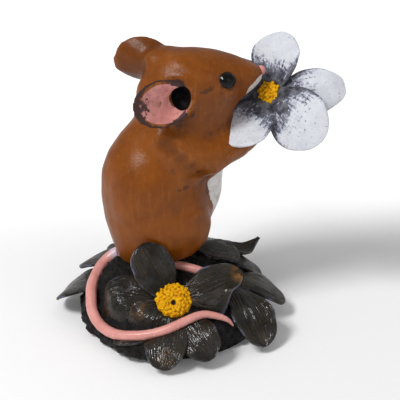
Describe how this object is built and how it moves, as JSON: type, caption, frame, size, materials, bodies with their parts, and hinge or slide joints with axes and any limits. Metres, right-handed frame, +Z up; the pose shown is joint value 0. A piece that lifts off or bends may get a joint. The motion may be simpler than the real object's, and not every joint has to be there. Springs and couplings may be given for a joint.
{
  "type": "mouse figurine",
  "caption": "Painted cast figurine of a mouse that stands on a mound of dark petals and sniffs a white flower, with a felt pad under its base.",
  "frame": {"origin": "centre of the felt's flat underside, in the plane that the figurine stands on", "axes": "+Z up, +X the way that the mouse looks, +Y to the mouse's left"},
  "size_m": [0.0732, 0.06, 0.0718],
  "materials": {
    "felt": "short matt felt",
    "dark_bronze": "dark patina, satin",
    "steel": "plain turned",
    "dark_petal": "dark patina rubbed brown, glossy lacquer",
    "yellow_paint": "granular yellow paint",
    "brown_fur": "brown paint, rubbed lighter on high places, satin",
    "ear_paint": "brown outside, rose inside, satin",
    "pink_paint": "pink paint, satin",
    "black_gloss": "glossy black paint",
    "slate_paint": "dark slate paint, satin",
    "white_paint": "white brushed over slate, satin"
  },
  "bodies": {
    "root": {"felt_pad": "felt", "base_mound": "dark_bronze", "fixing_dowel": "steel", "petal_left_low": "dark_petal", "petal_left_high": "dark_petal", "petal_back_left": "dark_petal", "petal_back": "dark_petal", "petal_back_right": "dark_petal", "petal_curl": "dark_petal", "petal_right_broad": "dark_petal", "petal_right_short": "dark_petal", "petal_right_far": "dark_petal", "petal_right_cupped": "dark_petal", "front_petal_up": "dark_petal", "front_petal_right": "dark_petal", "front_petal_lower_right": "dark_petal", "front_petal_lower_left": "dark_petal", "front_petal_left": "dark_petal", "front_petal_left_upper": "dark_petal", "front_flower_heart": "yellow_paint", "mouse_body": "brown_fur", "right_arm": "brown_fur", "left_arm": "brown_fur", "right_ear": "ear_paint", "left_ear": "ear_paint", "right_paw": "pink_paint", "left_paw": "pink_paint", "right_foot": "pink_paint", "left_foot": "pink_paint", "nose_tip": "pink_paint", "tail": "pink_paint", "right_eye": "black_gloss", "left_eye": "black_gloss", "bloom_heart": "yellow_paint", "bloom_stem": "slate_paint", "bloom_petal_far": "white_paint", "bloom_petal_top": "white_paint", "bloom_petal_right": "white_paint", "bloom_petal_low_left": "white_paint", "bloom_petal_low_right": "white_paint"}
  },
  "joints": []
}
